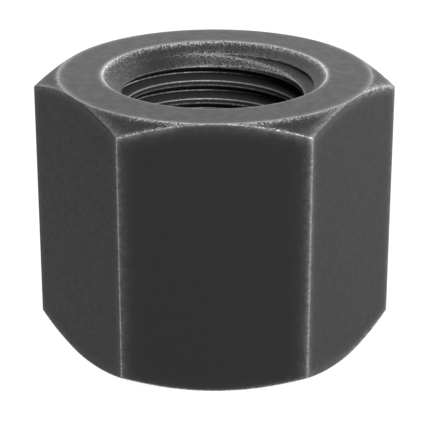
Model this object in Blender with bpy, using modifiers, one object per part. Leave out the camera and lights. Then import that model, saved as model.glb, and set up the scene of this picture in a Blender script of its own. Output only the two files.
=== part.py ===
"""Tall hex nut, 9/16-18 UNF, 7/8 in (22.2 mm) across its flats, modelled as the one piece of steel that it is.

The nut stands on its bottom face with its axis on +Z and the origin in the middle of the bottom face.
Two of its flats face -Y and +Y, and two of its corners point to -X and +X. A hexagonal prism is trimmed
by a turned blank, which gives the chamfers at both ends, then cut by a solid of the tap's shape and by a
countersink at each end. The thread is a real right-hand helix that runs out through both countersinks.
"""

import math

import bmesh
import bpy
from mathutils import Matrix

# Overall sizes, in metres.
ACROSS_FLATS = 0.022225
HEIGHT = 0.0195

# Unified fine thread, 18 turns to the inch.
THREAD_DIAMETER = 0.0142875
THREAD_PITCH = 0.0254 / 18
CREST_HEIGHT = 0.0008  # middle of a crest above the bottom face, where the helix passes +X

# Both ends are alike.
CHAMFER_DIAMETER = 0.02215  # where the chamfer meets the end face
CHAMFER_ANGLE = math.radians(29.5)  # between the chamfer and the end face
COUNTERSINK_DIAMETER = 0.01586
COUNTERSINK_ANGLE = math.radians(92)  # the whole angle of the cone

# Proportions of a 60 degree thread, as shares of its pitch.
FLANK_DEPTH = 5 / 8 * math.sqrt(3) / 2
CREST_FLAT = 1 / 4
ROOT_FLAT = 1 / 8

# How finely round shapes are divided, and how far a cutter runs past what it cuts.
THREAD_STEPS = 36
TURNED_STEPS = 72
HALF_STEP = math.pi / TURNED_STEPS  # keeps the edges of turned faces off the corners and the thread's edges
OVERRUN = 0.001
WELD_DISTANCE = 1e-6

BLACK_OXIDE = {"Base Color": (0.045, 0.045, 0.047, 1.0), "Metallic": 0.85, "Roughness": 0.42}


def clear_scene():
    for obj in list(bpy.data.objects):
        bpy.data.objects.remove(obj, do_unlink=True)


def new_collection(name):
    collection = bpy.data.collections.new(name)
    bpy.context.scene.collection.children.link(collection)
    return collection


def new_object(name, bm, collection):
    """Make an object from a bmesh, which is freed."""
    mesh = bpy.data.meshes.new(name)
    bm.to_mesh(mesh)
    bm.free()
    obj = bpy.data.objects.new(name, mesh)
    collection.objects.link(obj)
    return obj


def as_cutter(obj):
    obj.hide_render = True
    obj.display_type = "WIRE"
    return obj


def outline(points):
    """An open line through (radius, height) points, in the XZ plane."""
    bm = bmesh.new()
    verts = [bm.verts.new((radius, 0.0, height)) for radius, height in points]
    for first, second in zip(verts, verts[1:]):
        bm.edges.new((first, second))
    return bm


def screw(obj, steps, turns=1, rise=0.0):
    """Turn an outline about Z, rising by one pitch each turn for a thread."""
    modifier = obj.modifiers.new("Turn", "SCREW")
    modifier.axis = "Z"
    modifier.angle = math.tau
    modifier.steps = steps
    modifier.render_steps = steps
    modifier.iterations = turns
    modifier.screw_offset = rise
    modifier.use_merge_vertices = rise == 0.0
    modifier.merge_threshold = WELD_DISTANCE


def boolean(target, cutter, operation):
    modifier = target.modifiers.new(cutter.name, "BOOLEAN")
    modifier.operation = operation
    modifier.solver = "EXACT"
    modifier.object = cutter


def steel():
    material = bpy.data.materials.new("black_oxide_steel")
    material.use_nodes = True
    shader = material.node_tree.nodes["Principled BSDF"]
    for socket, value in BLACK_OXIDE.items():
        shader.inputs[socket].default_value = value
    return material


def hex_prism(collection):
    """The bar that the nut is cut from, with corners on -X and +X."""
    bm = bmesh.new()
    corner_radius = ACROSS_FLATS / 2 / math.cos(math.radians(30))
    place = Matrix.Translation((0, 0, HEIGHT / 2)) @ Matrix.Rotation(math.radians(30), 4, "Z")
    bmesh.ops.create_cone(
        bm,
        cap_ends=True,
        segments=6,
        radius1=corner_radius,
        radius2=corner_radius,
        depth=HEIGHT,
        matrix=place,
    )
    return new_object("hex_nut", bm, collection)


def chamfer_blank(collection):
    """A turned solid whose two cones leave the chamfers on the corners of both ends."""
    end_radius = CHAMFER_DIAMETER / 2 - OVERRUN / math.tan(CHAMFER_ANGLE)
    side_radius = ACROSS_FLATS / 2 / math.cos(math.radians(30)) + OVERRUN
    drop = (side_radius - end_radius) * math.tan(CHAMFER_ANGLE)
    top = HEIGHT + OVERRUN
    bottom = -OVERRUN
    profile = [
        (0.0, top),
        (end_radius, top),
        (side_radius, top - drop),
        (side_radius, bottom + drop),
        (end_radius, bottom),
        (0.0, bottom),
    ]
    blank = new_object("chamfer_blank", outline(profile), collection)
    screw(blank, TURNED_STEPS)
    blank.rotation_euler.z = HALF_STEP
    return as_cutter(blank)


def countersink(name, face_height, direction, collection):
    """A cone with its point in the bore; direction is 1 at the top end and -1 at the bottom end."""
    slope = math.tan(COUNTERSINK_ANGLE / 2)
    wide_radius = COUNTERSINK_DIAMETER / 2 + OVERRUN * slope
    depth = wide_radius / slope
    middle = face_height + direction * (OVERRUN - depth / 2)
    place = Matrix.Translation((0, 0, middle)) @ Matrix.Rotation(HALF_STEP, 4, "Z")
    bm = bmesh.new()
    bmesh.ops.create_cone(
        bm,
        cap_ends=True,
        segments=TURNED_STEPS,
        radius1=0.0 if direction > 0 else wide_radius,
        radius2=wide_radius if direction > 0 else 0.0,
        depth=depth,
        matrix=place,
    )
    return as_cutter(new_object(name, bm, collection))


def thread_profile(lowest_crest):
    """One pitch of the tap from top to bottom: a flank, the root, a flank and the crest of the nut's thread."""
    root_radius = THREAD_DIAMETER / 2
    crest_radius = root_radius - FLANK_DEPTH * THREAD_PITCH
    root_middle = lowest_crest + THREAD_PITCH / 2
    crest_to_root = (1 - CREST_FLAT) / 2 * THREAD_PITCH
    root_half = ROOT_FLAT / 2 * THREAD_PITCH
    return [
        (crest_radius, root_middle + crest_to_root),
        (root_radius, root_middle + root_half),
        (root_radius, root_middle - root_half),
        (crest_radius, root_middle - crest_to_root),
        (crest_radius, root_middle - crest_to_root - CREST_FLAT * THREAD_PITCH),
    ]


def close_ends(bm):
    """Close each open end of the thread with a fan to a point on the axis."""
    edges = [edge for edge in bm.edges if edge.is_boundary]
    middle = sum(vert.co.z for edge in edges for vert in edge.verts) / (2 * len(edges))
    for is_top in (False, True):
        rim = [edge for edge in edges if (edge.verts[0].co.z > middle) == is_top]
        extruded = bmesh.ops.extrude_edge_only(bm, edges=rim)["geom"]
        verts = [item for item in extruded if isinstance(item, bmesh.types.BMVert)]
        height = sum(vert.co.z for vert in verts) / len(verts)
        bmesh.ops.pointmerge(bm, verts=verts, merge_co=(0.0, 0.0, height))


def tap(collection):
    """The space inside the thread as a closed solid, running at least one turn past both ends."""
    turns_below = 2 + math.ceil(CREST_HEIGHT / THREAD_PITCH)
    turns = turns_below + math.ceil(HEIGHT / THREAD_PITCH) + 2
    lowest_crest = CREST_HEIGHT - turns_below * THREAD_PITCH
    wire = new_object("tap_outline", outline(thread_profile(lowest_crest)), collection)
    screw(wire, THREAD_STEPS, turns, THREAD_PITCH)
    evaluated = wire.evaluated_get(bpy.context.evaluated_depsgraph_get())
    turned = bpy.data.meshes.new_from_object(evaluated)
    bpy.data.objects.remove(wire, do_unlink=True)
    bm = bmesh.new()
    bm.from_mesh(turned)
    bpy.data.meshes.remove(turned)
    bmesh.ops.remove_doubles(bm, verts=bm.verts, dist=WELD_DISTANCE)
    close_ends(bm)
    bmesh.ops.recalc_face_normals(bm, faces=bm.faces)
    return as_cutter(new_object("tap", bm, collection))


def main():
    clear_scene()
    parts = new_collection("tall_hex_nut")
    cutters = new_collection("cutters")
    nut = hex_prism(parts)
    nut.data.materials.append(steel())
    boolean(nut, chamfer_blank(cutters), "INTERSECT")
    boolean(nut, tap(cutters), "DIFFERENCE")
    boolean(nut, countersink("countersink_top", HEIGHT, 1, cutters), "DIFFERENCE")
    boolean(nut, countersink("countersink_bottom", 0.0, -1, cutters), "DIFFERENCE")


main()
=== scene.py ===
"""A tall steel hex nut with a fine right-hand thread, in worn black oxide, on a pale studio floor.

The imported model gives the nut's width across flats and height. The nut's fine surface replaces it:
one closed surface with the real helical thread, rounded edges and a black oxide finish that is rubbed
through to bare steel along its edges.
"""

import math

import bpy
import numpy as np
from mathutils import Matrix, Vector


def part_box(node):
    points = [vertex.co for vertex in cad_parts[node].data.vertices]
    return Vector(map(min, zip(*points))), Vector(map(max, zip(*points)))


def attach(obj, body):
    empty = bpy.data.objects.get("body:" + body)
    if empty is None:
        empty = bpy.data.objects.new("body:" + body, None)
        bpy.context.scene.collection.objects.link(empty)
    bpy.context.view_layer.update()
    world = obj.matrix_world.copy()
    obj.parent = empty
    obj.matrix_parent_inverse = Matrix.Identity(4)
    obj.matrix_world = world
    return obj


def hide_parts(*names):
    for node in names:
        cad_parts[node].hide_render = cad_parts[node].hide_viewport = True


bl_info = {
    "name": "Tall hex nut",
    "version": (1, 0, 0),
    "blender": (4, 5, 0),
    "location": "View3D > Sidebar > Hex Nut",
    "description": "Builds a tall hex nut with a real thread and a worn black oxide finish",
    "category": "Object",
}

MM = 0.001

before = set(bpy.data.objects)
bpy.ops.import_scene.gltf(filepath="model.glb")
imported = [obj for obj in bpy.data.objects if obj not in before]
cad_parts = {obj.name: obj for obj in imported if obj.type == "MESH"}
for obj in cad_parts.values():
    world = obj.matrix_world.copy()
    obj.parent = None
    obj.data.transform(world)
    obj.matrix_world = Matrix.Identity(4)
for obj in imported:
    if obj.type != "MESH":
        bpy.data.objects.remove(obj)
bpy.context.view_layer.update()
NUT_LOW, NUT_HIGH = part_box("hex_nut")
ACROSS_FLATS = NUT_HIGH[1] - NUT_LOW[1]
HEIGHT = NUT_HIGH[2] - NUT_LOW[2]
APOTHEM = ACROSS_FLATS / 2
ACROSS_CORNER = APOTHEM / math.cos(math.radians(30))  # from the axis to a sharp corner

# How finely the surface is divided. Columns run round the axis, and rows run along the section.
CORNER_STEPS = 8  # columns round each upright corner
FLAT_STEPS = 28  # columns across each flat
BORE_ROWS = 300
EDGE_STEPS = 5  # rows round each rounded edge
FACE_ROWS = 18  # rows across each end face
CHAMFER_ROWS = 7
FLAT_ROWS = 30

# Name, then the angle about Z (0 is the camera's side) and the elevation in degrees, the size in metres and
# the power in watts.
SOFTBOX_DISTANCE = 0.25
SOFTBOXES = {
    "back_softbox": (180, 35, 0.2, 0.31),
    "top_left_softbox": (230, 65, 0.16, 0.15),
    "back_right_softbox": (155, 12, 0.2, 0.19),
    "back_left_softbox": (205, 12, 0.2, 0.16),
    "right_softbox": (105, 18, 0.14, 0.37),
    "front_softbox": (30, 45, 0.16, 0.76),
}
FLOOR_REACH = 40 * HEIGHT
FLOOR_GAP = 0.01 * MM  # between the floor and the nut's bottom face


def length(name, description, default):
    return bpy.props.FloatProperty(
        name=name, description=description, default=default, subtype="DISTANCE", unit="LENGTH", precision=5
    )


def angle(name, description, degrees):
    return bpy.props.FloatProperty(
        name=name, description=description, default=math.radians(degrees), subtype="ANGLE", unit="ROTATION"
    )


def share(name, description, default):
    return bpy.props.FloatProperty(
        name=name, description=description, default=default, min=0.0, max=1.0, subtype="FACTOR"
    )


def number(name, description, default):
    return bpy.props.FloatProperty(name=name, description=description, default=default)


def colour(name, description, default):
    return bpy.props.FloatVectorProperty(
        name=name, description=description, default=default, size=3, min=0.0, max=1.0, subtype="COLOR"
    )


class NutSizes(bpy.types.PropertyGroup):
    thread_diameter: length("Thread diameter", "Major diameter of the thread", 14.2875 * MM)
    thread_pitch: length("Thread pitch", "Rise of the thread in one turn", 25.4 * MM / 18)
    crest_height: length("Crest height", "Middle of a crest above the bottom face, at +X", 0.8 * MM)
    chamfer_diameter: length("Chamfer diameter", "Where the chamfer meets the end face", 22.15 * MM)
    chamfer_angle: angle("Chamfer angle", "Between the chamfer and the end face", 29.5)
    countersink_diameter: length("Countersink diameter", "Where it meets the end face", 15.86 * MM)
    countersink_angle: angle("Countersink angle", "The whole angle of the countersink's cone", 92.0)
    corner_radius: length("Corner radius", "Rounding of the six upright corners", 0.1 * MM)
    chamfer_radius: length("Chamfer edge radius", "Rounding of the edges of the chamfers", 0.14 * MM)
    rim_radius: length("Rim radius", "Rounding of the rim of each countersink", 0.22 * MM)
    thread_radius: length("Thread edge radius", "Rounding of the thread's crests and root", 0.035 * MM)


class NutFinish(bpy.types.PropertyGroup):
    oxide: colour("Oxide", "Colour of the black oxide", (0.012, 0.012, 0.012))
    oxide_brown: colour("Brown oxide", "Oxide where it has a warm cast", (0.02, 0.0185, 0.012))
    oxide_thread: colour("Oxide in the thread", "Colour of the oxide in the thread", (0.016, 0.016, 0.016))
    oxide_roughness: share("Oxide roughness", "Roughness of the black oxide", 0.6)
    oxide_ior: number("Oxide reflection", "Index of refraction, for how much the oxide reflects", 1.32)
    steel: colour("Bare steel", "Steel where the oxide is rubbed off", (0.55, 0.548, 0.54))
    steel_roughness: share("Steel roughness", "Roughness of the rubbed steel", 0.42)
    wear: share("Wear", "How far the oxide is rubbed off along the edges", 0.5)


class StageSettings(bpy.types.PropertyGroup):
    floor: colour("Floor", "Colour of the floor", (0.04, 0.04, 0.04))
    floor_glow: number("Floor glow", "Light that the floor gives of its own, like a light table", 0.985)
    sky: number("Sky", "Strength of the even light from all around", 0.0)
    distance: length("Camera distance", "From the camera to the point that it looks at", 129.75 * MM)
    elevation: angle("Camera elevation", "How far the camera looks down", 22.03)
    aim_height: length("Aim height", "Height of the point that the camera looks at", 8.637 * MM)
    aim_side: length("Aim side", "How far the camera stands to the right of the axis", 0.04 * MM)
    lens: number("Lens", "Focal length on a 36 mm wide sensor, in mm", 148.7)


def smooth_max(first, second, radius):
    """The greater of two heights, with the crossing rounded.

    It is their mean plus half of sqrt(difference^2 + radius^2).
    """
    return (first + second + np.sqrt((first - second) ** 2 + radius**2)) / 2


def smooth_min(first, second, radius):
    return -smooth_max(-first, -second, radius)


def hexagon(radius):
    """A rounded hexagon's angles and radii about Z, with corners on +X and -X.

    Each corner is an arc of the corner radius through 60 degrees, and each flat a row of points between two
    arcs. Columns are close together on the arcs and even along the flats.
    """
    sixth_turn = math.radians(60)
    centre = (APOTHEM - radius) / math.cos(sixth_turn / 2)
    turn = np.linspace(-sixth_turn / 2, sixth_turn / 2, CORNER_STEPS + 1)
    arc = np.stack([centre + radius * np.cos(turn), radius * np.sin(turn)])
    start = arc[:, -1]
    cosine, sine = math.cos(sixth_turn), math.sin(sixth_turn)
    next_arc_start = np.array([[cosine, -sine], [sine, cosine]]) @ arc[:, 0]
    along = np.linspace(0, 1, FLAT_STEPS + 1)[1:-1]
    flat = start[:, None] + (next_arc_start - start)[:, None] * along
    sixth = np.concatenate([arc, flat], axis=1)
    turns = np.arange(6)[:, None] * sixth_turn
    angles = turns + np.arctan2(sixth[1], sixth[0])
    return angles.ravel(), np.tile(np.hypot(sixth[0], sixth[1]), 6)


def thread_radius(sizes, from_crest):
    """The thread's radius at a distance along the axis from the middle of a crest.

    It is flat for an eighth of a pitch each way, falls back along a 30 degree flank for five sixteenths, and
    is flat again at the root.
    """
    pitch = sizes.thread_pitch
    root = sizes.thread_diameter / 2
    crest = root - 5 / 8 * math.cos(math.radians(30)) * pitch
    flank = crest + (from_crest - pitch / 8) / math.tan(math.radians(30))
    return smooth_min(smooth_max(flank, crest, sizes.thread_radius), root, sizes.thread_radius)


def countersink_radius(sizes, depth):
    """A countersink's radius at a depth: its rim's, less the depth times the tangent of half its angle."""
    return sizes.countersink_diameter / 2 - depth * math.tan(sizes.countersink_angle / 2)


def bore_radius(sizes, turn, height):
    """Distance from the axis to the bore's wall, and the distance along the axis to the nearest crest.

    The crests follow the helix whose height is pitch * angle / one turn. The wall is the greatest of the
    thread and the two countersinks, with the crossings rounded.
    """
    pitch = sizes.thread_pitch
    from_crest = (height - sizes.crest_height) / pitch - turn / math.tau
    from_crest = np.abs(from_crest - np.round(from_crest)) * pitch
    thread = thread_radius(sizes, from_crest)
    top = countersink_radius(sizes, HEIGHT - height)
    bottom = countersink_radius(sizes, height)
    cones = smooth_max(top, bottom, sizes.thread_radius)
    return smooth_max(thread, cones, sizes.thread_radius), from_crest


def graded(count, crowding):
    """Shares from 0 to 1 that crowd towards both ends: a blend of an even row and half a cosine wave."""
    even = np.linspace(0, 1, count)
    return (1 - crowding) * even + crowding * (1 - np.cos(math.pi * even)) / 2


def bore_heights(sizes):
    """Heights through the bore, from bottom to top, twice as close together near the ends as in the middle.

    Closeness is 1 plus an S-curve that falls off 5 mm from the ends. Its running sum says how far along each
    row lies.
    """
    edge = sizes.rim_radius
    span = np.linspace(0, 1, 400)
    from_end = np.minimum(span, 1 - span) * HEIGHT
    closeness = 1 + 1.2 / (1 + np.exp((from_end - 5 * MM) / (0.5 * MM)))
    travelled = np.concatenate([[0], np.cumsum((closeness[1:] + closeness[:-1]) / 2)])
    shares = np.interp(np.linspace(0, travelled[-1], BORE_ROWS), travelled, span)
    return edge + shares * (HEIGHT - 2 * edge)


def fillet(before, corner, after, radius):
    """Points of an arc that rounds a corner between two straight lines, for every column at once.

    The arc touches both lines at radius / tan(half the opening) from the corner, or at 45% of the shorter
    line. A point is the arc's centre plus a blend of the two directions that traces the circle.
    """
    inward = before - corner
    outward = after - corner
    in_length = np.linalg.norm(inward, axis=0)
    out_length = np.linalg.norm(outward, axis=0)
    inward = inward / in_length
    outward = outward / out_length
    opening = np.arccos(np.clip((inward * outward).sum(0), -1, 1))
    reach = radius / np.tan(opening / 2)
    reach = np.minimum(reach, 0.45 * np.minimum(in_length, out_length))
    true_radius = reach * np.tan(opening / 2)
    middle = inward + outward
    middle = middle / np.linalg.norm(middle, axis=0)
    centre = corner + middle * true_radius / np.sin(opening / 2)
    sweep = (math.pi - opening) / 2
    side = np.stack([-middle[1], middle[0]])
    facing = np.where((side * inward).sum(0) > 0, 1.0, -1.0)
    points = []
    for portion in np.linspace(1, -1, EDGE_STEPS + 1):
        swing = sweep * portion * facing
        spoke = -middle * np.cos(swing) + side * np.sin(swing)
        points.append(centre + spoke * true_radius)
    return points


def outer_section(sizes, radii):
    """The outside of the nut in the plane of each column, from the top rim down to the bottom rim.

    It is the end face, the chamfer and the flat, with an arc between each two, then the same mirrored.
    """
    ones = np.ones_like(radii)
    rim = sizes.countersink_diameter / 2
    shoulder = sizes.chamfer_diameter / 2
    drop = (radii - shoulder) * math.tan(sizes.chamfer_angle)
    below = HEIGHT / 4
    corners = [
        np.stack([countersink_radius(sizes, below) * ones, (HEIGHT - below) * ones]),
        np.stack([rim * ones, HEIGHT * ones]),
        np.stack([shoulder * ones, HEIGHT * ones]),
        np.stack([radii, HEIGHT - drop]),
        np.stack([radii, HEIGHT / 2 * ones]),
    ]
    edges = [sizes.rim_radius, sizes.chamfer_radius, sizes.chamfer_radius]
    arcs = [fillet(corners[i], corners[i + 1], corners[i + 2], edge) for i, edge in enumerate(edges)]
    upper = list(arcs[0])
    for arc, count in zip(arcs[1:], (FACE_ROWS, CHAMFER_ROWS)):
        upper += [upper[-1] + (arc[0] - upper[-1]) * s for s in graded(count, 0.7)[1:-1]]
        upper += arc
    lower = [np.stack([point[0], HEIGHT - point[1]]) for point in reversed(upper)]
    side = [upper[-1] + (lower[0] - upper[-1]) * s for s in graded(FLAT_ROWS, 0.8)[1:-1]]
    return upper + side + lower


def nut_surface(sizes):
    """The whole nut as one closed grid: an angle about the axis, and a place along the section there.

    The section runs up the bore, over the top rim, along the end face, down the chamfer and the flat, and
    back under the bottom end. A point is (radius * cos, radius * sin, height). The result is the points and
    their attributes.
    """
    turn, radii = hexagon(sizes.corner_radius)
    outside = np.stack(outer_section(sizes, radii))
    rows = bore_heights(sizes)
    top_rim = outside[0]
    bottom_rim = outside[-1]
    share_up = (rows - rows[0]) / (rows[-1] - rows[0])
    heights = bottom_rim[1][None, :] + share_up[:, None] * (top_rim[1] - bottom_rim[1])[None, :]
    heights = heights[1:-1]
    wall, from_crest = bore_radius(sizes, turn[None, :], heights)
    radius = np.concatenate([wall, outside[:, 0, :]])
    height = np.concatenate([heights, outside[:, 1, :]])
    points = np.stack([radius * np.cos(turn), radius * np.sin(turn), height], axis=-1)
    return points, surface_attributes(sizes, points, turn, from_crest)


def surface_attributes(sizes, points, turn, from_crest):
    """How far each point is from each kind of edge, in mm, and which part of the surface it is on.

    The rim and shoulder circles and the upright corners are measured straight across. The curve where a
    chamfer cone cuts a flat lies, at each angle, at the height of the cone at the flat's radius there. Lead
    is how much wider the countersink is than the thread, so it is 0 where the one cuts into the other.
    """
    x, y, z = points[..., 0], points[..., 1], points[..., 2]
    radius = np.hypot(x, y)
    from_end = np.minimum(z, HEIGHT - z)
    shoulder_radius = sizes.chamfer_diameter / 2
    slope = math.tan(sizes.chamfer_angle)
    sixth = np.mod(turn + math.radians(30), math.radians(60)) - math.radians(30)
    across = APOTHEM / np.cos(math.radians(30) - np.abs(sixth))
    cone = (across - shoulder_radius) * slope
    corner_cone = (ACROSS_CORNER - shoulder_radius) * slope
    from_corner = np.hypot(radius * np.sin(sixth), np.maximum(corner_cone - from_end, 0))
    outward = radius > shoulder_radius
    bore_rows = len(from_crest)
    lead = np.full_like(radius, -ACROSS_FLATS)
    lead[:bore_rows] = countersink_radius(sizes, from_end[:bore_rows]) - thread_radius(sizes, from_crest)
    away = {
        "rim": np.hypot(radius - sizes.countersink_diameter / 2, from_end),
        "shoulder": np.hypot(radius - shoulder_radius, from_end),
        "curve": np.hypot(radius - across, from_end - cone) * math.cos(math.radians(20)),
        "corner": np.where(outward, from_corner, ACROSS_FLATS),
        "lead": lead,
    }
    found = {key: np.clip(value, -10 * MM, 10 * MM) / MM for key, value in away.items()}
    found["bore"] = np.zeros_like(radius)
    found["bore"][:bore_rows] = 1
    found["chamfer"] = ((from_end < cone) & outward).astype(float)
    found["flat"] = ((from_end >= cone) & outward).astype(float)
    front = np.cos(turn + math.radians(90)) > math.cos(math.radians(30))
    found["front"] = np.broadcast_to(front, radius.shape).astype(float)
    return found


def grid_object(name, points, attributes):
    """A mesh object from a grid that closes on itself both ways, shaded smooth, with point attributes."""
    rows, columns = points.shape[:2]
    index = np.arange(rows * columns).reshape(rows, columns)
    up = np.roll(index, -1, axis=0)
    right = np.roll(index, -1, axis=1)
    up_right = np.roll(up, -1, axis=1)
    quads = np.stack([up, up_right, right, index], axis=-1).reshape(-1, 4)
    mesh = bpy.data.meshes.new(name)
    mesh.vertices.add(rows * columns)
    mesh.vertices.foreach_set("co", points.ravel())
    mesh.loops.add(quads.size)
    mesh.loops.foreach_set("vertex_index", quads.ravel())
    mesh.polygons.add(len(quads))
    mesh.polygons.foreach_set("loop_start", np.arange(len(quads)) * 4)
    mesh.update(calc_edges=True)
    mesh.shade_smooth()
    for key, values in attributes.items():
        mesh.attributes.new(key, "FLOAT", "POINT").data.foreach_set("value", values.ravel())
    obj = bpy.data.objects.new(name, mesh)
    bpy.context.scene.collection.objects.link(obj)
    return obj


def rgba(three):
    return (*three, 1.0)


class Value:
    """A shader socket that takes part in Python arithmetic, adding a Math node for each operation."""

    def __init__(self, graph, socket):
        self.graph = graph
        self.socket = socket

    def math(self, operation, *others):
        return self.graph.node("ShaderNodeMath", {"operation": operation}, [self, *others])

    def __add__(self, other):
        return self.math("ADD", other)

    def __sub__(self, other):
        return self.math("SUBTRACT", other)

    def __mul__(self, other):
        return self.math("MULTIPLY", other)

    def __rsub__(self, other):
        return self.graph.node("ShaderNodeMath", {"operation": "SUBTRACT"}, [other, self])

    __radd__ = __add__
    __rmul__ = __mul__

    def clamped(self):
        return self.graph.node("ShaderNodeClamp", {}, [self])

    def rise(self, low, high):
        """0 below low, 1 above high and a smooth step between; low may be the greater, for a fall."""
        settings = {"interpolation_type": "SMOOTHSTEP"}
        inputs = {"Value": self, "From Min": low, "From Max": high}
        return self.graph.node("ShaderNodeMapRange", settings, inputs)

    def bell(self, width):
        """A bell curve: e to the power of minus (value / width) squared."""
        return (self * self * (-1 / width**2)).math("EXPONENT")


class Graph:
    """A material's node tree."""

    def __init__(self, name):
        self.material = bpy.data.materials.new(name)
        self.material.use_nodes = True
        self.tree = self.material.node_tree
        self.tree.nodes.clear()

    def node(self, kind, settings, inputs, output=0):
        """Add a node: its settings are set first, then its sockets, by name or in order."""
        made = self.tree.nodes.new(kind)
        for key, value in settings.items():
            setattr(made, key, value)
        pairs = inputs.items() if isinstance(inputs, dict) else enumerate(inputs)
        for key, value in pairs:
            if isinstance(value, Value):
                self.tree.links.new(value.socket, made.inputs[key])
            else:
                made.inputs[key].default_value = value
        return Value(self, made.outputs[output])

    def attribute(self, name):
        return self.node("ShaderNodeAttribute", {"attribute_name": name}, {}, "Fac")

    def noise(self, where, scale, detail, roughness, stretch=(1, 1, 1)):
        """Noise about the object, with its scale in features to the mm."""
        place = self.node("ShaderNodeVectorMath", {"operation": "MULTIPLY"}, [where, stretch])
        inputs = {"Vector": place, "Scale": scale / MM, "Detail": detail, "Roughness": roughness}
        return self.node("ShaderNodeTexNoise", {}, inputs)

    def split(self, place):
        return [self.node("ShaderNodeSeparateXYZ", {}, [place], axis) for axis in range(3)]

    def join(self, x, y, z):
        return self.node("ShaderNodeCombineXYZ", {}, [x, y, z])

    def mix(self, factor, first, second):
        """A blend of two colours. Sockets 6 and 7 are a Mix node's colour inputs, and 2 its colour output."""
        return self.node("ShaderNodeMix", {"data_type": "RGBA"}, {0: factor, 6: first, 7: second}, 2)

    def surface(self, shader):
        output = self.tree.nodes.new("ShaderNodeOutputMaterial")
        self.tree.links.new(shader.socket, output.inputs["Surface"])
        return self.material


class Places:
    """Where a point is on the nut: its distance to each edge in mm, and masks from 0 to 1 for its regions."""

    def __init__(self, graph, where, sizes):
        self.rim = graph.attribute("rim")
        self.shoulder = graph.attribute("shoulder")
        self.curve = graph.attribute("curve")
        self.corner = graph.attribute("corner")
        self.lead = graph.attribute("lead")
        self.chamfer = graph.attribute("chamfer")
        self.flat = graph.attribute("flat")
        self.front = graph.attribute("front")
        self.bore = graph.attribute("bore")
        self.countersink = self.lead.rise(0.0, 0.05) * self.bore
        self.thread = self.lead.rise(0.03, 0.0) * self.bore
        self.narrow = (self.curve + self.shoulder).rise(1.0, 0.2) * self.chamfer

        self.x, self.y, self.z = graph.split(where)
        self.radius = (self.x * self.x + self.y * self.y).math("SQRT")
        self.turn = self.y.math("ARCTAN2", self.x)
        # The side masks set how strongly the edge marks show round the nut: the corner and curve lines turn
        # wider and fainter towards the right, the shoulder line is fainter at the right-hand corner, the rim
        # line is stronger at the front and the thread's root line stronger towards the left.
        self.rightward = self.x.rise(-5 * MM, 5 * MM)
        self.behind = self.y.rise(-5 * MM, 3 * MM)
        self.back = self.y.rise(-1 * MM, 6 * MM)
        self.outer = self.y.rise(-8 * MM, -3 * MM)
        self.upper = self.z.rise(HEIGHT * 0.3, HEIGHT * 0.6)
        rim_radius = sizes.countersink_diameter / 2
        self.inside = self.radius.rise(rim_radius + 0.05 * MM, rim_radius - 0.05 * MM)


class Wear:
    """The wear along edges: how bare the steel is, from the distance to each edge in mm."""

    def __init__(self, graph, where, amount):
        self.amount = amount
        self.grit = graph.noise(where, 8.0, 2.0, 0.6).rise(0.42, 0.6) * 1.5 + 0.1
        self.patches = graph.noise(where, 2.2, 5.0, 0.7).rise(0.3, 0.7) * 0.9 + 0.4
        self.speckle = graph.noise(where, 10.0, 1.0, 0.5)

    def line(self, away, width, core, grittiness):
        """A thin line: a bell curve of the distance, broken up by fine grit as far as grittiness says."""
        strength = core * self.amount
        return away.bell(width) * (self.grit * (grittiness * strength) + (1 - grittiness) * strength)

    def band(self, away, spread, strength):
        """A wide, fainter and patchy band that dies away with the distance."""
        return (away * (-1 / spread)).math("EXPONENT") * (self.patches * (strength * self.amount))

    def sparks(self, away, spread, density, strength):
        """Bright points: speckle over a threshold that is lowest on the edge, so they thin out from it."""
        near = away.bell(spread)
        points = (self.speckle + near * density).rise(0.6, 0.66)
        return points * near * (strength * self.amount)


def corner_wear(wear, at):
    """A thin line with a soft band on each upright corner, wider and fainter towards the right."""
    thin = wear.line(at.corner, 0.045, 0.75, 0.7) * (1 - at.rightward * 0.7)
    wide = wear.line(at.corner, 0.11, 0.3, 0.8) * at.rightward
    return thin + wide + wear.band(at.corner, 0.24, 0.3 + at.rightward * 0.1)


def curve_wear(wear, at, rings):
    """Wear where the chamfer meets the flats: a gritty line, a band beside it, hatching and bright points."""
    side = 1 - at.front
    thin = wear.line(at.curve, 0.06, 0.8, 1.0) * (at.front * (0.9 - at.rightward * 0.75) + at.outer * 0.3)
    wide = wear.line(at.curve, 0.14, 0.26, 1.0) * at.front * at.rightward
    apart = at.shoulder.rise(0.12, 0.8) * 0.7 + 0.3
    soft = wear.band(at.curve, 0.22, 0.55) * apart * at.front * (1 - at.chamfer * 0.7)
    soft = soft * (at.upper * 0.8 + 0.2)
    low_line = wear.line(at.curve, 0.07, 0.4, 0.5) * (1 - at.upper)
    hatching = rings.rise(0.35, 0.65) * at.rightward * 0.8 + 0.8 - at.outer * 0.2
    hatched = wear.line(at.curve, 0.5, 0.36, 0.6) * hatching * side * (at.chamfer * 0.7 + 0.3)
    sparks = wear.sparks(at.curve, 0.2, 0.14, 1.0) * at.chamfer * (at.front * 0.8 + 0.2)
    side_sparks = wear.sparks(at.curve, 0.35, 0.12, 0.9) * at.outer * side * (at.rightward * 0.5 + 0.5)
    return thin + wide + soft + low_line + hatched + sparks + side_sparks


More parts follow.
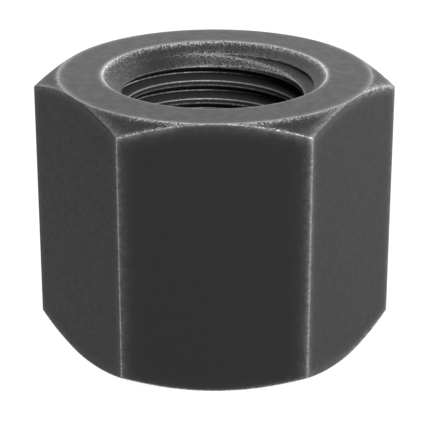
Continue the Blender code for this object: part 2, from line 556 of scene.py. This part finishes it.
def shoulder_wear(wear, at):
    """Wear where the end face meets the chamfer: a line, wider on the far corners, a band and points.
    Besides, flecks of bare steel on the chamfers, partly painted sheen.
    """
    thin = wear.line(at.shoulder, 0.08, 0.35, 0.6) * (1 - at.outer * 0.5)
    wide = wear.line(at.shoulder, 0.24, 0.26, 0.9) * at.outer * (1 - at.rightward * 0.4)
    rough = at.front * 0.7 + at.rightward * 0.7 + 0.25
    sparks = wear.sparks(at.shoulder, 0.3, 0.16, 1.0) * (at.chamfer * 0.8 + 0.2) * rough
    worn = thin + wide + wear.band(at.shoulder, 0.2, 0.25) + sparks
    # Flecks of bare steel on the chamfers, partly painted sheen: the faint flecks on every chamfer lift its
    # brightness, and on the narrow chamfer triangles they are stronger at the front and to the right.
    flecks_and_sheen = wear.speckle.rise(0.5, 0.65) * (at.chamfer * 0.03 + at.narrow * rough * 0.22)
    return worn * (1 - at.flat) * (1 - at.outer * at.rightward * 0.45), flecks_and_sheen


def rim_wear(wear, at):
    """Wear round the rim of a countersink: a line, a band, and bright points at its back and its ends."""
    ends = at.x.math("ABSOLUTE").rise(6.6 * MM, 7.8 * MM)
    line = wear.line(at.rim, 0.08, 0.4, 0.5) * (1.5 - at.behind * 0.5)
    band = wear.band(at.rim, 0.15, 0.25 + ends * 0.1)
    end_sparks = wear.sparks(at.rim, 0.28, 0.13, 0.7) * ends
    back_sparks = wear.sparks(at.rim, 0.32, 0.14, 2.4) * (at.back * 0.7 + at.behind * 0.3)
    return line + band + end_sparks + back_sparks * (at.inside * 0.85 + 0.15)


def countersink_wear_and_reflection(wear, at, spokes):
    """Wear where the thread cuts into the cone, and the cone's scuffed streaks with painted reflection: the
    scuffs at the back thin out from the middle to 4 mm left of it, speckle lightens the cone beyond 4.5 mm to
    the left, and a smooth lift lightens it towards the right, standing in for the turned cone's bright and
    dark reflection.
    """
    cut = at.lead.math("ABSOLUTE")
    on_cut = (wear.line(cut, 0.03, 0.6, 0.7) + wear.sparks(cut, 0.15, 0.12, 0.5)) * at.bore
    # Painted reflection: how strongly the cone is scuffed depends on its side, to stand in for its bright and
    # dark reflection.
    from_left = at.x.rise(-4 * MM, 0.0)
    near_cut = at.lead.bell(0.5) * at.behind * from_left
    scuffs_and_reflection = spokes.rise(0.35, 0.7) * (from_left * at.back * 0.18 + 0.08)
    scuffs_and_reflection = scuffs_and_reflection + wear.speckle.rise(0.4, 0.7) * (near_cut * 0.8 + at.x.rise(-4.5 * MM, -6.5 * MM) * 0.6)
    # Painted reflection: a smooth lightening towards the right of the cone.
    scuffs_and_reflection = scuffs_and_reflection + at.x.rise(0.0, 7 * MM) * 0.3
    return on_cut + scuffs_and_reflection * at.countersink * 0.27


def thread_wear(wear, at, sizes):
    """Wear on the thread's two crest edges and a bright line where its upper flank meets the root.

    The place in a turn is height / pitch - angle / one turn, and the distance to a feature is how far that is
    from the feature's own place, wrapped to half a turn.
    """
    turns = at.turn * (1 / math.tau)
    place = at.z * (1 / sizes.thread_pitch) - turns - sizes.crest_height / sizes.thread_pitch

    def away(feature):
        wrapped = (place - (feature - 0.5)).math("FRACT") - 0.5
        return wrapped.math("ABSOLUTE") * (sizes.thread_pitch / MM)

    upper_edge = away(1 / 8)
    lower_edge = away(-1 / 8)
    root_edge = away(0.45)
    leftward = at.x.rise(4 * MM, -4 * MM) * 0.7 + 0.3
    on_upper = wear.line(upper_edge, 0.03, 0.95, 0.3) + wear.band(upper_edge, 0.05, 0.2)
    on_lower = wear.line(lower_edge, 0.06, 1.1, 0.8) + wear.sparks(lower_edge, 0.12, 0.1, 0.5)
    on_root = wear.line(root_edge, 0.03, 1.6, 0.6) * leftward * at.lead.rise(-0.1, -0.4)
    return (on_upper + on_lower + on_root) * at.thread


def oxide_steel(finish, sizes):
    """Black oxide on steel, rubbed through along the edges and the thread's crests, with painted reflection
    on the countersink cones and painted sheen on the chamfers, both as extra bare steel.
    """
    graph = Graph("black_oxide_steel")
    where = graph.node("ShaderNodeTexCoord", {}, {}, "Object")
    at = Places(graph, where, sizes)
    wear = Wear(graph, where, finish.wear)
    mottle = graph.noise(where, 1.6, 5.0, 0.7, (1, 1, 2))
    grain = graph.noise(where, 7.0, 3.0, 0.6, (1, 1, 2))
    spokes = graph.noise(graph.join(at.turn * (8 * MM), at.z * 0.15, 0.0), 9.0, 2.0, 0.6)
    rings = graph.noise(graph.join(at.turn * (1.5 * MM), at.radius, at.z), 6.0, 2.0, 0.6)

    on_shoulder, flecks_and_sheen = shoulder_wear(wear, at)
    bare = corner_wear(wear, at) + curve_wear(wear, at, rings).math("MAXIMUM", on_shoulder)
    bare = bare + rim_wear(wear, at) + thread_wear(wear, at, sizes)
    # From here the bare steel also carries painted reflection on the countersinks and painted sheen on the
    # chamfers.
    bare = bare + flecks_and_sheen + countersink_wear_and_reflection(wear, at, spokes)
    bare = bare.math("MINIMUM", 0.85).clamped()

    warm = (at.narrow + at.countersink * at.back * at.rim.rise(1.0, 0.2)).clamped() * 0.5
    oxide = graph.mix(warm, rgba(finish.oxide), rgba(finish.oxide_brown))
    oxide = graph.mix(at.thread, oxide, rgba(finish.oxide_thread))
    roughness = (mottle - 0.5) * 0.3 + finish.oxide_roughness
    roughness = roughness + bare * (finish.steel_roughness - finish.oxide_roughness)
    relief = mottle * 0.5 + grain * 0.5 + rings * 0.5 - bare * 0.3
    inputs = {
        "Base Color": graph.mix(bare, oxide, rgba(finish.steel)),
        "Metallic": bare,
        "Roughness": roughness,
        "Normal": graph.node(
            "ShaderNodeBump", {}, {"Height": relief, "Strength": 0.3, "Distance": 0.02 * MM}
        ),
        "IOR": finish.oxide_ior,
    }
    return graph.surface(graph.node("ShaderNodeBsdfPrincipled", {}, inputs))


class NUT_OT_build_nut(bpy.types.Operator):
    """Build the nut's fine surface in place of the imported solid"""

    bl_idname = "nut.build_nut"
    bl_label = "Tall Hex Nut"

    def execute(self, context):
        points, attributes = nut_surface(context.scene.nut_sizes)
        nut = grid_object("hex_nut_surface", points, attributes)
        nut.data.materials.append(oxide_steel(context.scene.nut_finish, context.scene.nut_sizes))
        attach(nut, "root")
        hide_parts("hex_nut")
        return {"FINISHED"}


def glowing_paper(stage):
    """Pale paper lit from below, which shows next to no shadow."""
    graph = Graph("floor_paper")
    inputs = {
        "Base Color": rgba(stage.floor),
        "Roughness": 0.8,
        "Emission Color": (1.0, 1.0, 1.0, 1.0),
        "Emission Strength": stage.floor_glow,
    }
    return graph.surface(graph.node("ShaderNodeBsdfPrincipled", {}, inputs))


def paper_floor(stage):
    """A flat square under the nut."""
    reach, low = FLOOR_REACH, -FLOOR_GAP
    corners = [(-reach, -reach, low), (reach, -reach, low), (reach, reach, low), (-reach, reach, low)]
    mesh = bpy.data.meshes.new("floor")
    mesh.from_pydata(corners, [], [(0, 1, 2, 3)])
    mesh.materials.append(glowing_paper(stage))
    floor = bpy.data.objects.new("floor", mesh)
    bpy.context.scene.collection.objects.link(floor)


def studio_world(strength):
    """A white backdrop for the camera, which lights the nut only as much as the strength says."""
    world = bpy.data.worlds.new("studio")
    world.use_nodes = True
    tree = world.node_tree
    background = tree.nodes["Background"]
    background.inputs["Color"].default_value = (1.0, 1.0, 1.0, 1.0)
    path = tree.nodes.new("ShaderNodeLightPath")
    seen = tree.nodes.new("ShaderNodeMath")
    seen.operation = "MAXIMUM"
    seen.inputs[1].default_value = strength
    tree.links.new(path.outputs["Is Camera Ray"], seen.inputs[0])
    tree.links.new(seen.outputs[0], background.inputs["Strength"])
    return world


def aimed(direction):
    """The rotation that turns -Z to a direction and keeps +Y upwards."""
    x, y, z = direction
    return (math.atan2(math.hypot(x, y), -z), 0.0, math.atan2(-x, y))


def area_light(name, turn, height, size, power):
    """A square soft light that faces the nut, from an angle about Z and an elevation."""
    data = bpy.data.lights.new(name, "AREA")
    data.shape = "SQUARE"
    data.size = size
    data.energy = power
    light = bpy.data.objects.new(name, data)
    around = math.radians(turn)
    up = math.radians(height)
    away = np.array([math.sin(around) * math.cos(up), -math.cos(around) * math.cos(up), math.sin(up)])
    light.location = away * SOFTBOX_DISTANCE
    light.rotation_euler = aimed(-away)
    bpy.context.scene.collection.objects.link(light)


def studio_camera(stage):
    """A long lens in front of the nut, looking a little down."""
    aim = np.array([stage.aim_side, 0.0, stage.aim_height])
    back = np.array([0.0, -math.cos(stage.elevation), math.sin(stage.elevation)])
    data = bpy.data.cameras.new("camera")
    data.lens = stage.lens
    data.sensor_width = 36.0
    data.clip_start = 0.01
    camera = bpy.data.objects.new("camera", data)
    camera.location = aim + back * stage.distance
    camera.rotation_euler = aimed(-back)
    bpy.context.scene.collection.objects.link(camera)
    return camera


class NUT_OT_build_stage(bpy.types.Operator):
    """Build the floor, the lights and the camera"""

    bl_idname = "nut.build_stage"
    bl_label = "Studio Stage"

    def execute(self, context):
        stage = context.scene.nut_stage
        paper_floor(stage)
        context.scene.world = studio_world(stage.sky)
        for name, (turn, height, size, power) in SOFTBOXES.items():
            area_light(name, turn, height, size, power)
        context.scene.camera = studio_camera(stage)
        context.scene.view_settings.view_transform = "Standard"
        return {"FINISHED"}


class NUT_PT_panel(bpy.types.Panel):
    bl_idname = "NUT_PT_panel"
    bl_label = "Tall Hex Nut"
    bl_space_type = "VIEW_3D"
    bl_region_type = "UI"
    bl_category = "Hex Nut"

    def draw(self, context):
        for group in (context.scene.nut_sizes, context.scene.nut_finish, context.scene.nut_stage):
            for key in group.__annotations__:
                self.layout.prop(group, key)
        for operator in OPERATORS:
            self.layout.operator(operator.bl_idname)


GROUPS = {"nut_sizes": NutSizes, "nut_finish": NutFinish, "nut_stage": StageSettings}
OPERATORS = (NUT_OT_build_nut, NUT_OT_build_stage)


def register():
    for cls in (*GROUPS.values(), *OPERATORS, NUT_PT_panel):
        bpy.utils.register_class(cls)
    for name, group in GROUPS.items():
        setattr(bpy.types.Scene, name, bpy.props.PointerProperty(type=group))


def unregister():
    for name in GROUPS:
        delattr(bpy.types.Scene, name)
    for cls in reversed((*GROUPS.values(), *OPERATORS, NUT_PT_panel)):
        bpy.utils.unregister_class(cls)


def main():
    register()
    bpy.ops.nut.build_nut()
    bpy.ops.nut.build_stage()


if __name__ == "__main__":
    main()
